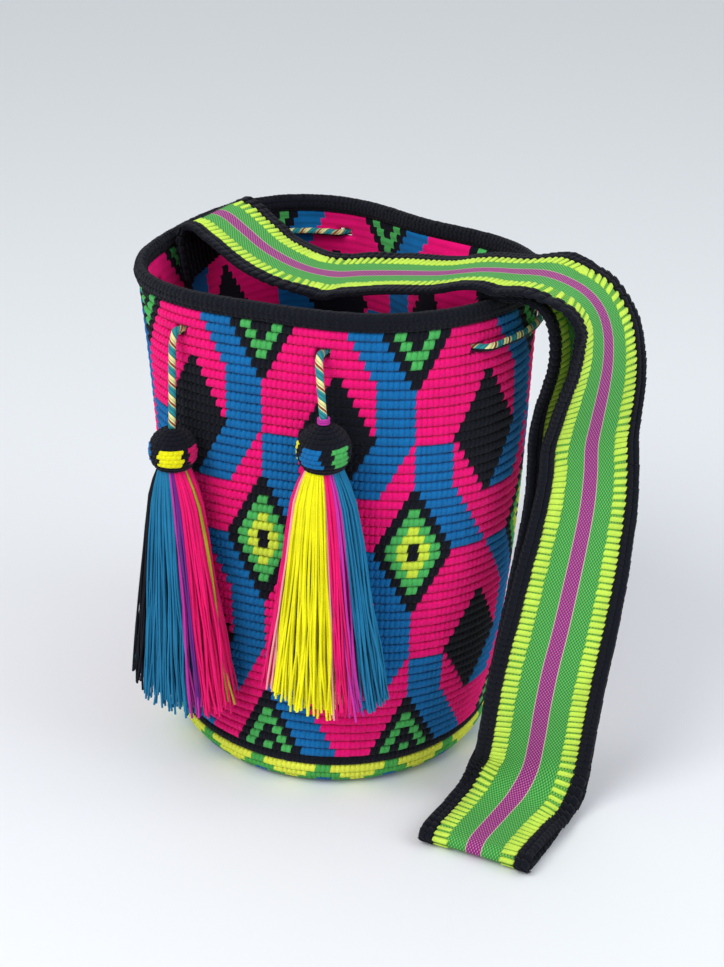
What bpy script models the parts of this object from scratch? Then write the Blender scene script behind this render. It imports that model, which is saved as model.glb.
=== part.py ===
"""Crocheted bucket bag: wall, rim edging, drawstring, two tassels and a woven strap.

Metres, +Z up. The origin is the centre of the flat base, the strap hangs at the front right.
"""
import bmesh
import bpy
import numpy as np
from mathutils import Vector

# crochet gauge: the wall is worked in rows of stitches from the mouth down
STITCHES = 224
ROWS = 50
ROW_HEIGHT = 0.0063
FOOT_HEIGHT = 0.0175
WALL = 0.004
GAP = 0.0003

# outline of the wall: mean radius and waves at the mouth, half-way down and at the foot
MEAN_RADIUS = (0.1218, 0.1202, 0.1205)
WAVES = (
    (2, (-0.0034, 0.0090, 0.0055), (0.0128, 0.0121, 0.0025)),
    (3, (-0.0083, -0.0147, 0.0), (-0.0025, 0.0010, 0.0)),
    (4, (0.0032, 0.0008, 0.0), (0.0030, 0.0008, 0.0)),
)
MOUTH_LEAN = (0.003, -0.0129)
FIRST_STITCH = 15.1
BASE_BEND = 0.0150

RIM_HEIGHT = 0.0105
RIM_THICKNESS = 0.0068
RIM_SIDES = 8
ROUND_POINTS = 84

EYELETS = 8
EYELET_ROW = 2.5
EYELET_STITCH = -16.5
EYELET_STEP = STITCHES / EYELETS
EYELET_SIZE = (0.0168, 0.0073)

CORD = 0.0048
CORD_OFFSET = 0.0034
PIVOT_OFFSET = 0.0046
CORD_CLEARANCE = 0.0017
BALL_CLEARANCE = 0.0035

STRAP_THICKNESS = 0.0032
BAND_WIDTH = 0.0580
EDGING_WIDTH = 0.0088
EDGING_GAP = 0.0008
REAR_TAB = 0.0400
FRONT_TAB = 0.0340

# left and right tassel: stitch and height of the ball, its radius, and the skirt below it
TASSELS = {
    "left": {"eyelet": -44.5, "stitch": -42.1, "ball_height": 0.2425, "ball_radius": 0.0160,
             "ring": 0.0, "skirt_end": 0.0560, "spread": (0.036, 0.0165)},
    "right": {"eyelet": -16.5, "stitch": -14.4, "ball_height": 0.2622, "ball_radius": 0.0175,
              "ring": 0.0042, "skirt_end": 0.0800, "spread": (0.037, 0.0170)},
}

# strap: middle of the band and the direction across it, from the rear rim over the mouth
# and the front rim, down to the ground, and back up behind itself to the front rim
STRAP_ROUTE = (
    ((-0.0808, 0.0588, 0.3160), (0.47, 0.88, 0.00)),
    ((-0.0828, 0.0572, 0.3300), (0.47, 0.88, 0.00)),
    ((-0.0835, 0.0562, 0.3410), (0.47, 0.88, 0.00)),
    ((-0.0800, 0.0543, 0.3490), (0.47, 0.88, 0.00)),
    ((-0.0712, 0.0484, 0.3490), (0.47, 0.88, 0.00)),
    ((-0.0590, 0.0375, 0.3425), (0.44, 0.90, 0.00)),
    ((-0.0415, 0.0205, 0.3335), (0.28, 0.96, 0.02)),
    ((-0.0190, 0.0030, 0.3275), (0.11, 0.99, 0.04)),
    ((0.0030, -0.0045, 0.3248), (0.03, 1.00, 0.03)),
    ((0.0245, -0.0150, 0.3290), (0.01, 1.00, -0.05)),
    ((0.0470, -0.0320, 0.3350), (0.03, 1.00, -0.09)),
    ((0.0720, -0.0510, 0.3415), (0.05, 1.00, -0.11)),
    ((0.0970, -0.0660, 0.3490), (0.09, 0.99, -0.10)),
    ((0.1180, -0.0790, 0.3525), (0.17, 0.98, -0.06)),
    ((0.1345, -0.0930, 0.3560), (0.32, 0.94, 0.01)),
    ((0.1475, -0.1030, 0.3545), (0.44, 0.90, 0.00)),
    ((0.1590, -0.1065, 0.3480), (0.51, 0.85, -0.08)),
    ((0.1675, -0.1080, 0.3370), (0.56, 0.81, -0.15)),
    ((0.1718, -0.1095, 0.3230), (0.62, 0.76, -0.18)),
    ((0.1728, -0.1095, 0.3065), (0.67, 0.71, -0.21)),
    ((0.1718, -0.1080, 0.2888), (0.74, 0.64, -0.22)),
    ((0.1690, -0.1050, 0.2640), (0.80, 0.55, -0.23)),
    ((0.1668, -0.1050, 0.2470), (0.84, 0.48, -0.23)),
    ((0.1668, -0.1080, 0.2285), (0.88, 0.43, -0.20)),
    ((0.1653, -0.1135, 0.2090), (0.91, 0.37, -0.18)),
    ((0.1614, -0.1210, 0.1869), (0.94, 0.31, -0.16)),
    ((0.1558, -0.1300, 0.1600), (0.97, 0.21, -0.12)),
    ((0.1497, -0.1380, 0.1310), (0.99, 0.14, -0.08)),
    ((0.1440, -0.1435, 0.1050), (1.00, 0.05, -0.05)),
    ((0.1400, -0.1460, 0.0787), (1.00, 0.00, -0.05)),
    ((0.1372, -0.1460, 0.0520), (1.00, -0.02, -0.06)),
    ((0.1335, -0.1475, 0.0300), (0.99, -0.08, -0.05)),
    ((0.1245, -0.1560, 0.0150), (0.97, -0.22, -0.02)),
    ((0.1120, -0.1730, 0.0105), (0.94, -0.34, 0.00)),
    ((0.0990, -0.1935, 0.0098), (0.89, -0.45, 0.00)),
    ((0.0950, -0.2015, 0.0092), (0.89, -0.45, 0.00)),
    ((0.0936, -0.2043, 0.0058), (0.89, -0.45, 0.00)),
    ((0.0950, -0.2015, 0.0027), (0.89, -0.45, 0.00)),
    ((0.0990, -0.1935, 0.0022), (0.89, -0.45, 0.00)),
    ((0.1125, -0.1710, 0.0030), (0.92, -0.38, 0.00)),
    ((0.1260, -0.1480, 0.0066), (0.96, -0.25, 0.08)),
    ((0.1350, -0.1360, 0.0155), (0.99, -0.08, 0.15)),
    ((0.1385, -0.1320, 0.0310), (1.00, -0.02, 0.00)),
    ((0.1405, -0.1320, 0.0540), (1.00, 0.00, -0.05)),
    ((0.1425, -0.1325, 0.0800), (1.00, 0.03, -0.05)),
    ((0.1460, -0.1300, 0.1060), (0.99, 0.10, -0.07)),
    ((0.1500, -0.1240, 0.1320), (0.98, 0.18, -0.10)),
    ((0.1545, -0.1160, 0.1620), (0.95, 0.27, -0.14)),
    ((0.1580, -0.1070, 0.1880), (0.91, 0.37, -0.17)),
    ((0.1600, -0.0990, 0.2110), (0.88, 0.43, -0.19)),
    ((0.1595, -0.0940, 0.2320), (0.85, 0.48, -0.21)),
    ((0.1585, -0.0915, 0.2500), (0.81, 0.54, -0.22)),
    ((0.1590, -0.0925, 0.2690), (0.76, 0.61, -0.22)),
    ((0.1608, -0.0955, 0.2890), (0.71, 0.67, -0.21)),
    ((0.1610, -0.0975, 0.3060), (0.66, 0.72, -0.20)),
    ((0.1590, -0.0975, 0.3210), (0.62, 0.76, -0.17)),
    ((0.1545, -0.0950, 0.3340), (0.57, 0.81, -0.12)),
    ((0.1475, -0.0905, 0.3430), (0.51, 0.86, -0.06)),
    ((0.1390, -0.0850, 0.3465), (0.46, 0.89, -0.02)),
    ((0.1290, -0.0775, 0.3465), (0.44, 0.90, 0.00)),
    ((0.1190, -0.0695, 0.3462), (0.43, 0.90, 0.00)),
    ((0.1132, -0.0652, 0.3410), (0.43, 0.90, 0.00)),
    ((0.1116, -0.0646, 0.3300), (0.43, 0.90, 0.00)),
    ((0.1114, -0.0655, 0.3165), (0.43, 0.90, 0.00)),
)
STRAP_STEP = 0.0105
STRAP_TURN = 0.35

PINK = (0.95, 0.02, 0.17)
BLACK = (0.012, 0.014, 0.022)
LIME = (0.55, 0.85, 0.10)
CORD_COLOUR = (0.10, 0.16, 0.16)
SKIRT_COLOURS = {"left": (0.02, 0.24, 0.42), "right": (0.90, 0.85, 0.05)}
MAGENTA = (0.60, 0.04, 0.35)


def clear_scene():
    for thing in list(bpy.data.objects):
        bpy.data.objects.remove(thing, do_unlink=True)


def material(name, colour, roughness=0.85):
    made = bpy.data.materials.new(name)
    made.use_nodes = True
    shader = made.node_tree.nodes["Principled BSDF"]
    shader.inputs["Base Color"].default_value = (*colour, 1.0)
    shader.inputs["Roughness"].default_value = roughness
    return made


def add_mesh(name, verts, faces, colour, location=(0, 0, 0), parent=None):
    """Turn world points and faces into one object whose origin is at location."""
    mesh = bpy.data.meshes.new(name)
    origin = Vector(location)
    mesh.from_pydata([Vector(v) - origin for v in verts], [], faces)
    work = bmesh.new()
    work.from_mesh(mesh)
    bmesh.ops.recalc_face_normals(work, faces=work.faces)
    work.to_mesh(mesh)
    work.free()
    mesh.shade_smooth()
    mesh.set_sharp_from_angle(angle=0.8)
    mesh.materials.append(material(name + "_yarn", colour))
    thing = bpy.data.objects.new(name, mesh)
    bpy.context.collection.objects.link(thing)
    thing.location = origin
    if parent is not None:
        attach(thing, parent)
    return thing


def attach(thing, parent):
    thing.parent = parent
    thing.location = thing.location - parent.location


def add_pivot(name, place):
    pivot = bpy.data.objects.new(name, None)
    pivot.location = Vector(place)
    bpy.context.collection.objects.link(pivot)
    return pivot


def between(values, depth):
    """Read a smooth value from its mouth, middle and foot values; depth is 0 at the mouth."""
    mouth, middle, foot = values
    return (mouth * (1 - depth) * (1 - 2 * depth) + 4 * middle * depth * (1 - depth)
            + foot * depth * (2 * depth - 1))


def row_height(row):
    return FOOT_HEIGHT + (ROWS - row) * ROW_HEIGHT


def outline(height, count=720):
    """Closed outline of the wall's outside at a height, and the length run along it."""
    depth = min(1.0, max(-0.06, 1 - (height - FOOT_HEIGHT) / (ROWS * ROW_HEIGHT)))
    turn = np.linspace(-np.pi, np.pi, count + 1)
    radius = np.full_like(turn, between(MEAN_RADIUS, depth))
    for order, cosine, sine in WAVES:
        radius += between(cosine, depth) * np.cos(order * turn)
        radius += between(sine, depth) * np.sin(order * turn)
    x = radius * np.sin(turn) + MOUTH_LEAN[0] * (1 - depth)
    y = -radius * np.cos(turn) + MOUTH_LEAN[1] * (1 - depth)
    run = np.concatenate([[0], np.cumsum(np.hypot(np.diff(x), np.diff(y)))])
    return x, y, run


def wall_points(stitches, height, offset=0.0):
    """Points on the wall's outside at the given stitches, moved outwards by offset."""
    x, y, run = outline(height)
    front = run[len(run) // 2] / run[-1]
    along = ((np.asarray(stitches, float) + FIRST_STITCH) / STITCHES + front) % 1.0 * run[-1]
    step = 0.002

    def at(place):
        place = place % run[-1]
        return np.array([np.interp(place, run, x), np.interp(place, run, y)])

    here = at(along)
    tangent = at(along + step) - at(along - step)
    tangent = tangent / np.hypot(tangent[0], tangent[1])
    normal = np.array([tangent[1], -tangent[0]])
    place = here + offset * normal
    flat = np.zeros_like(along)
    points = np.stack([place[0], place[1], flat + height], axis=-1)
    normals = np.stack([normal[0], normal[1], flat], axis=-1)
    return points, normals


def wall_point(stitch, height, offset=0.0):
    points, normals = wall_points([stitch], height, offset)
    return Vector(points[0]), Vector(normals[0])


def loft(rings, closed_ends=True):
    """Verts and faces of a skin over rings of equal count."""
    count = len(rings[0])
    verts = [tuple(v) for ring in rings for v in ring]
    faces = []
    for level in range(len(rings) - 1):
        for i in range(count):
            j = (i + 1) % count
            faces.append((level * count + i, level * count + j,
                          (level + 1) * count + j, (level + 1) * count + i))
    if closed_ends:
        faces.append(tuple(range(count)))
        last = (len(rings) - 1) * count
        faces.append(tuple(last + i for i in range(count)))
    return verts, faces


def smooth_route(stations, step):
    """Evenly spaced points on a Catmull-Rom curve through the stations."""
    data = np.asarray(stations, float)
    ends = np.vstack([2 * data[0] - data[1], data, 2 * data[-1] - data[-2]])
    fine = []
    for i in range(1, len(ends) - 2):
        p0, p1, p2, p3 = ends[i - 1], ends[i], ends[i + 1], ends[i + 2]
        for t in np.linspace(0, 1, 12, endpoint=False):
            fine.append(0.5 * (2 * p1 + (p2 - p0) * t + (2 * p0 - 5 * p1 + 4 * p2 - p3) * t ** 2
                               + (3 * p1 - p0 - 3 * p2 + p3) * t ** 3))
    fine = np.array(fine + [ends[-2]])
    run = np.concatenate([[0], np.cumsum(np.linalg.norm(np.diff(fine[:, :3], axis=0), axis=1))])
    count = max(2, int(round(run[-1] / step)) + 1)
    at = np.linspace(0, run[-1], count)
    return np.stack([np.interp(at, run, fine[:, k]) for k in range(fine.shape[1])], axis=-1)


def make_bag_body():
    stitches = np.linspace(0, STITCHES, ROUND_POINTS, endpoint=False)
    top = row_height(0)
    rings = []
    for angle in np.radians([90, 60, 35, 15]):
        inset = -BASE_BEND * (1 - np.cos(angle))
        rings.append(wall_points(stitches, BASE_BEND * (1 - np.sin(angle)), inset)[0])
    for height in np.linspace(BASE_BEND, top, 8):
        rings.append(wall_points(stitches, height)[0])
    for height in np.linspace(top, BASE_BEND, 8):
        rings.append(wall_points(stitches, height, -WALL)[0])
    inner_bend = BASE_BEND - WALL
    for angle in np.radians([15, 35, 60, 90]):
        inset = -WALL - inner_bend * (1 - np.cos(angle))
        rings.append(wall_points(stitches, WALL + inner_bend * (1 - np.sin(angle)), inset)[0])
    body = add_mesh("bag_body", *loft(rings), PINK)
    cut = body.modifiers.new("eyelets", "BOOLEAN")
    cut.operation = "DIFFERENCE"
    cut.solver = "EXACT"
    cut.object = make_eyelet_cutter()
    return body


def make_eyelet_cutter():
    """Eight flat oval plugs across the wall, joined in one guide object."""
    verts, faces = [], []
    for index in range(EYELETS):
        place, normal = wall_point(EYELET_STITCH + index * EYELET_STEP, row_height(EYELET_ROW))
        across = Vector((-normal.y, normal.x, 0))
        rings = []
        for depth in (-0.012, 0.008):
            ring = []
            for turn in np.linspace(0, 2 * np.pi, 16, endpoint=False):
                ring.append(place + normal * depth + across * (np.cos(turn) * EYELET_SIZE[0] / 2)
                            + Vector((0, 0, np.sin(turn) * EYELET_SIZE[1] / 2)))
            rings.append(ring)
        more_verts, more_faces = loft(rings)
        faces += [tuple(i + len(verts) for i in face) for face in more_faces]
        verts += more_verts
    cutter = add_mesh("eyelet_guide", verts, faces, BLACK)
    cutter.hide_render = True
    cutter.display_type = "WIRE"
    return cutter


def make_rim():
    """Rounded edging, a ring of soft square section, on top of the wall."""
    middle = row_height(0) + GAP + RIM_HEIGHT / 2
    rings = []
    stitches = np.linspace(0, STITCHES, ROUND_POINTS, endpoint=False)
    for turn in np.linspace(0, 2 * np.pi, RIM_SIDES, endpoint=False):
        side = np.sign(np.cos(turn)) * abs(np.cos(turn)) ** 0.7 * RIM_THICKNESS / 2
        lift = np.sign(np.sin(turn)) * abs(np.sin(turn)) ** 0.7 * RIM_HEIGHT / 2
        rings.append(wall_points(stitches, middle + lift, side - WALL / 2)[0])
    skin, faces = loft(rings, closed_ends=False)
    last = (RIM_SIDES - 1) * ROUND_POINTS
    for i in range(ROUND_POINTS):
        j = (i + 1) % ROUND_POINTS
        faces.append((last + i, last + j, j, i))
    return add_mesh("rim_edging", skin, faces, BLACK)


def add_cord(name, points, colour, location=(0, 0, 0), parent=None):
    """Plain tube on a poly spline."""
    data = bpy.data.curves.new(name, "CURVE")
    data.dimensions = "3D"
    spline = data.splines.new("POLY")
    spline.points.add(len(points) - 1)
    origin = Vector(location)
    for point, place in zip(spline.points, points):
        point.co = (*(Vector(place) - origin), 1.0)
    data.bevel_depth = CORD / 2
    data.bevel_resolution = 2
    data.use_fill_caps = True
    data.materials.append(material(name + "_yarn", colour))
    thing = bpy.data.objects.new(name, data)
    bpy.context.collection.objects.link(thing)
    thing.location = origin
    if parent is not None:
        attach(thing, parent)
    return thing


def make_drawstring():
    """From the right eyelet in and out round the mouth to the left eyelet."""
    height = row_height(EYELET_ROW)
    inside = -WALL - CORD_OFFSET
    outside = CORD_OFFSET
    first = EYELET_STITCH
    stations = [tuple(wall_point(first, height, PIVOT_OFFSET - CORD / 2 - 2 * GAP)[0]),
                tuple(wall_point(first + 0.3, height, -WALL / 2)[0])]
    for span in range(EYELETS - 1):
        side = inside if span % 2 == 0 else outside
        start = first + span * EYELET_STEP
        if span:
            stations.append(tuple(wall_point(start, height, -WALL / 2)[0]))
        for step in (1.7, 4.2, 9.0, 14.0, 19.0, 23.8, 26.3):
            stations.append(tuple(wall_point(start + step, height, side)[0]))
    last = first + (EYELETS - 1) * EYELET_STEP
    stations.append(tuple(wall_point(last - 0.3, height, -WALL / 2)[0]))
    stations.append(tuple(wall_point(last, height, PIVOT_OFFSET - CORD / 2 - 2 * GAP)[0]))
    add_cord("drawstring_loop", smooth_route(stations, 0.0098), CORD_COLOUR)


def tassel_places(side):
    facts = TASSELS[side]
    pivot, _ = wall_point(facts["eyelet"], row_height(EYELET_ROW), PIVOT_OFFSET)
    ball, normal = wall_point(facts["stitch"], facts["ball_height"], facts["ball_radius"] + BALL_CLEARANCE)
    top = ball + Vector((0, 0, facts["ball_radius"] * 0.95))
    return pivot, ball, top, normal


def make_hanging_end(side):
    """Cord from the eyelet down to the top of the ball."""
    pivot, ball, top, normal = tassel_places(side)
    end = top + Vector((0, 0, TASSELS[side]["ring"] + CORD_CLEARANCE))
    fall = pivot.z - end.z
    lean = Vector((end.x - pivot.x, end.y - pivot.y, 0))
    stations = [tuple(pivot)]
    for share, out in ((0.04, 0.0012), (0.12, 0.0020), (0.30, 0.0022), (0.55, 0.0015), (0.8, 0.0006)):
        place = pivot + lean * share + normal * out - Vector((0, 0, fall * share))
        stations.append(tuple(place))
    stations.append(tuple(end))
    hinge = add_pivot("drawstring_hinge_" + side, pivot)
    add_cord("drawstring_end_" + side, smooth_route(stations, 0.0075), CORD_COLOUR,
             location=pivot, parent=hinge)
    return top


def make_ball(side):
    """Crocheted ball with an open flat underside, where the skirt comes out."""
    pivot, ball, top, normal = tassel_places(side)
    radius = TASSELS[side]["ball_radius"]
    rings = []
    for angle in np.radians([72, 50, 28, 8, -12, -30, -46]):
        ring = []
        for turn in np.linspace(0, 2 * np.pi, 24, endpoint=False):
            flat = radius * np.cos(angle)
            ring.append(ball + Vector((flat * np.cos(turn), flat * np.sin(turn),
                                       radius * np.sin(angle))))
        rings.append(ring)
    sway = add_pivot("tassel_hinge_" + side, top)
    name = "tassel_" + side + "_head"
    add_mesh(name, *loft(rings), BLACK, location=top, parent=sway)
    return sway, ball, normal


def make_skirt(side, sway, ball, normal):
    """Plain spreading bundle, oval in plan, with a flat top under the ball."""
    facts = TASSELS[side]
    radius = facts["ball_radius"]
    top = ball.z - radius * np.sin(np.radians(46)) - GAP
    along = Vector((-normal.y, normal.x, 0))
    rings = []
    for share, growth in ((0.0, 0.0), (0.06, 0.05), (0.3, 0.30), (0.65, 0.68), (1.0, 1.0)):
        wide = radius * 0.68 + (facts["spread"][0] - radius * 0.68) * growth
        deep = radius * 0.68 + (facts["spread"][1] - radius * 0.68) * growth
        height = top + (facts["skirt_end"] - top) * share
        ring = []
        for turn in np.linspace(0, 2 * np.pi, 24, endpoint=False):
            place = ball + along * (wide * np.cos(turn)) + normal * (deep * np.sin(turn))
            ring.append((place.x, place.y, height))
        rings.append(ring)
    name = "tassel_" + side + "_skirt"
    add_mesh(name, *loft(rings), SKIRT_COLOURS[side], location=sway.location, parent=sway)


def make_ring(sway, top):
    """Small wound ring between the right ball and its cord."""
    height = TASSELS["right"]["ring"] - GAP
    rings = []
    for share, wide in ((0.0, 0.0030), (0.25, 0.0042), (0.75, 0.0042), (1.0, 0.0028)):
        ring = []
        for turn in np.linspace(0, 2 * np.pi, 16, endpoint=False):
            ring.append(top + Vector((wide * np.cos(turn), wide * np.sin(turn),
                                      GAP + (height - GAP) * share)))
        rings.append(ring)
    add_mesh("tassel_right_ring", *loft(rings), MAGENTA, location=sway.location, parent=sway)


def strap_frames():
    """Middle, across and face directions along the whole strap, in fine steps."""
    stations = [place + across for place, across in STRAP_ROUTE]
    route = smooth_route(stations, 0.0010)
    middle = route[:, :3]
    along = np.gradient(middle, axis=0)
    along /= np.linalg.norm(along, axis=1)[:, None]
    across = route[:, 3:] - along * np.sum(route[:, 3:] * along, axis=1)[:, None]
    across /= np.linalg.norm(across, axis=1)[:, None]
    face = np.cross(along, across)
    run = np.concatenate([[0], np.cumsum(np.linalg.norm(np.diff(middle, axis=0), axis=1))])
    return middle, across, face, run


def strip_places(face, run, start, stop):
    """Where the strip gets a cross-section: close together only where it bends."""
    places = [start]
    last = np.searchsorted(run, start)
    for index in range(last, len(run)):
        far = run[index] - places[-1] > STRAP_STEP
        turned = np.dot(face[index], face[last]) < np.cos(STRAP_TURN)
        if run[index] > stop - 0.003:
            break
        if (far or turned) and run[index] - places[-1] > 0.001:
            places.append(run[index])
            last = index
    return places + [stop]


def make_strip(name, low, high, start, stop, colour):
    """Flat strip between two lines across the strap, from start to stop along it."""
    middle, across, face, run = strap_frames()
    rings = []
    for at in strip_places(face, run, start, stop):
        here = [np.array([np.interp(at, run, value[:, k]) for k in range(3)])
                for value in (middle, across, face)]
        half = STRAP_THICKNESS / 2
        corners = ((low, half), (high, half), (high, -half), (low, -half))
        rings.append([here[0] + here[1] * side + here[2] * lift for side, lift in corners])
    add_mesh(name, *loft(rings), colour)


def make_strap():
    length = strap_frames()[3][-1]
    band = BAND_WIDTH / 2
    edge = band + EDGING_GAP + EDGING_WIDTH
    start, stop = REAR_TAB + GAP, length - FRONT_TAB - GAP
    make_strip("strap_band", -band, band, start, stop, LIME)
    make_strip("strap_edging_inner", -edge, -band - EDGING_GAP, start, stop, BLACK)
    make_strip("strap_edging_outer", band + EDGING_GAP, edge, start, stop, BLACK)
    make_strip("strap_tab_rear", -edge, edge, 0.0, REAR_TAB, BLACK)
    make_strip("strap_tab_front", -edge, edge, length - FRONT_TAB, length, BLACK)


def build():
    clear_scene()
    make_bag_body()
    make_rim()
    make_drawstring()
    for side in TASSELS:
        top = make_hanging_end(side)
        sway, ball, normal = make_ball(side)
        make_skirt(side, sway, ball, normal)
        if TASSELS[side]["ring"]:
            make_ring(sway, top)
    make_strap()


build()
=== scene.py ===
import math
import random

import bmesh
import bpy
import numpy as np
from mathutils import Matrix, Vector


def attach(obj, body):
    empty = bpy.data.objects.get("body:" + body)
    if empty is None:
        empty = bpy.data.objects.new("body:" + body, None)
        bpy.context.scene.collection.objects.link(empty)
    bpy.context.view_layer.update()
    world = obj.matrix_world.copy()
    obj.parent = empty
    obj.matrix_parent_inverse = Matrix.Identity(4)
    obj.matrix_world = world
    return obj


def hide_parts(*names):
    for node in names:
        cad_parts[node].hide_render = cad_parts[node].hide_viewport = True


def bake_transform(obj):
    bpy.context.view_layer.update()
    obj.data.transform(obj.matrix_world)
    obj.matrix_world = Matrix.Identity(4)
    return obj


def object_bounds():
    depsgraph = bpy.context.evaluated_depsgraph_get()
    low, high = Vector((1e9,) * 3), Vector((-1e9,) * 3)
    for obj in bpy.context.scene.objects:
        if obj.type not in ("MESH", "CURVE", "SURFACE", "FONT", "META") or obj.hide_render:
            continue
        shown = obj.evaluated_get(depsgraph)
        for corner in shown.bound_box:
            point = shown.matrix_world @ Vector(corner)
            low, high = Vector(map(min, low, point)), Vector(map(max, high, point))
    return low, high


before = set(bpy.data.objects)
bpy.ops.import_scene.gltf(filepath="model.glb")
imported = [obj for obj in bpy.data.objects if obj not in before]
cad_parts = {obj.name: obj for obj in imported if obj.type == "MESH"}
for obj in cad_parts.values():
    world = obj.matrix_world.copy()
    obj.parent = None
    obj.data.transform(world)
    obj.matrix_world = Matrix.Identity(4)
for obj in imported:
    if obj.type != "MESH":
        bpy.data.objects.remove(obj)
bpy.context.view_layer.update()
print("frame loaded")

# how the wall is worked; the same gauge and outline as the solid it covers
wall = {
    "stitches": 224,
    "rows": 50,
    "rowHeight": 0.0063,
    "foot": 0.0175,
    "thickness": 0.004,
    "radius": (0.1218, 0.1202, 0.1205),  # mouth, middle, foot
    "waves": (
        (2, (-0.0034, 0.0090, 0.0055), (0.0128, 0.0121, 0.0025)),
        (3, (-0.0083, -0.0147, 0.0), (-0.0025, 0.0010, 0.0)),
        (4, (0.0032, 0.0008, 0.0), (0.0030, 0.0008, 0.0)),
    ),
    "lean": (0.003, -0.0129),
    "firstStitch": 15.1,
    "bend": 0.0150,
    "repeat": 28,
    "eyeletStitch": -16.5,
    "eyelets": 8,
    "eyeletRow": 3,
    "eyeletWidth": 3,
    "skinDepth": 0.0015,
    "stitchDepth": 0.0021,
}


def hexColour(code):
    parts = [int(code[i:i + 2], 16) / 255 for i in (1, 3, 5)]
    return tuple(c / 12.92 if c <= 0.04045 else ((c + 0.055) / 1.055) ** 2.4 for c in parts) + (1.0,)


def addNode(tree, kind, inputs=None, **settings):
    node = tree.nodes.new(kind)
    for key, value in settings.items():
        setattr(node, key, value)
    for key, value in (inputs or {}).items():
        if isinstance(value, bpy.types.NodeSocket):
            tree.links.new(value, node.inputs[key])
        else:
            node.inputs[key].default_value = value
    return node


def makeMesh(name, verts, faces, uvs=None, colours=None):
    # uvs: one pair for each face corner; colours: one for each face
    mesh = bpy.data.meshes.new(name)
    mesh.from_pydata([tuple(v) for v in verts], [], faces)
    if uvs is not None:
        mesh.uv_layers.new(name="UVMap").data.foreach_set("uv", np.asarray(uvs, np.float32).ravel())
    if colours is not None:
        counts = [len(f) for f in faces]
        data = np.repeat(np.asarray(colours, np.float32), counts, axis=0)
        layer = mesh.color_attributes.new("yarnColour", "FLOAT_COLOR", "CORNER")
        layer.data.foreach_set("color", data.ravel())
    mesh.shade_smooth()
    thing = bpy.data.objects.new(name, mesh)
    bpy.context.scene.collection.objects.link(thing)
    return thing


def faceOutwards(thing):
    work = bmesh.new()
    work.from_mesh(thing.data)
    if work.calc_volume(signed=True) < 0:
        bmesh.ops.reverse_faces(work, faces=work.faces)
    work.to_mesh(thing.data)
    work.free()


def finishPiece(thing, body, slot, *stoodFor):
    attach(thing, body)
    if stoodFor:
        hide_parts(*stoodFor)
    return thing


def loftFaces(levels, count, wrap=False):
    # quads between rings of count points; wrap joins the last ring to the first one
    faces = []
    for level in range(levels if wrap else levels - 1):
        a = level * count
        b = (level + 1) % levels * count
        for i in range(count):
            j = (i + 1) % count
            faces.append((a + i, a + j, b + j, b + i))
    return faces


# the wall's outline

def between(values, depth):
    mouth, middle, foot = values
    ends = mouth * (1 - depth) * (1 - 2 * depth) + foot * depth * (2 * depth - 1)
    return ends + 4 * middle * depth * (1 - depth)


def rowHeight(row):
    return wall["foot"] + (wall["rows"] - row) * wall["rowHeight"]


outlines = {}


def outline(height):
    key = round(height, 6)
    if key not in outlines:
        depth = min(1.0, max(-0.06, 1 - (height - wall["foot"]) / (wall["rows"] * wall["rowHeight"])))
        turn = np.linspace(-np.pi, np.pi, 721)
        radius = np.full_like(turn, between(wall["radius"], depth))
        for order, cosine, sine in wall["waves"]:
            radius += between(cosine, depth) * np.cos(order * turn)
            radius += between(sine, depth) * np.sin(order * turn)
        x = radius * np.sin(turn) + wall["lean"][0] * (1 - depth)
        y = -radius * np.cos(turn) + wall["lean"][1] * (1 - depth)
        run = np.concatenate([[0], np.cumsum(np.hypot(np.diff(x), np.diff(y)))])
        outlines[key] = (x, y, run)
    return outlines[key]


def wallPoints(stitches, height, offset=0.0):
    # points on the wall at these stitches, with the direction along the row and the one outwards
    x, y, run = outline(height)
    front = run[len(run) // 2] / run[-1]
    along = ((np.asarray(stitches, float) + wall["firstStitch"]) / wall["stitches"] + front) % 1.0 * run[-1]

    def at(place):
        place = place % run[-1]
        spots = [np.interp(place, run, x), np.interp(place, run, y), np.full_like(place, height)]
        return np.stack(spots, axis=-1)

    right = at(along + 0.002) - at(along - 0.002)
    right /= np.linalg.norm(right, axis=-1)[:, None]
    out = np.stack([right[:, 1], -right[:, 0], np.zeros(len(right))], axis=-1)
    return at(along) + out * offset, right, out


def wallPoint(stitch, height, offset=0.0):
    points, _, out = wallPoints(np.array([stitch]), height, offset)
    return Vector(points[0]), Vector(out[0])


def smoothRoute(stations, step):
    # evenly spaced points on a Catmull-Rom curve through the stations
    data = np.asarray(stations, float)
    ends = np.vstack([2 * data[0] - data[1], data, 2 * data[-1] - data[-2]])
    fine = []
    for i in range(1, len(ends) - 2):
        a, b, c, d = ends[i - 1:i + 3]
        for t in np.linspace(0, 1, 24, endpoint=False):
            fine.append(0.5 * (2 * b + (c - a) * t + (2 * a - 5 * b + 4 * c - d) * t ** 2
                               + (3 * b - a - 3 * c + d) * t ** 3))
    fine = np.array(fine + [ends[-2]])
    run = np.concatenate([[0], np.cumsum(np.linalg.norm(np.diff(fine[:, :3], axis=0), axis=1))])
    at = np.linspace(0, run[-1], max(2, int(round(run[-1] / step)) + 1))
    return np.stack([np.interp(at, run, fine[:, k]) for k in range(fine.shape[1])], axis=-1)


camera = {"place": (0.0222, -1.1409, 0.7215), "lookDown": 25.83, "lens": 1800 / 967 * 36}


def makeCamera():
    data = bpy.data.cameras.new("camera")
    data.lens = camera["lens"]
    data.sensor_width = 36
    data.clip_end = 20
    thing = bpy.data.objects.new("camera", data)
    thing.location = camera["place"]
    thing.rotation_euler = (math.radians(90 - camera["lookDown"]), 0, 0)
    bpy.context.scene.collection.objects.link(thing)
    bpy.context.scene.camera = thing


makeCamera()
print("camera placed")

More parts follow.
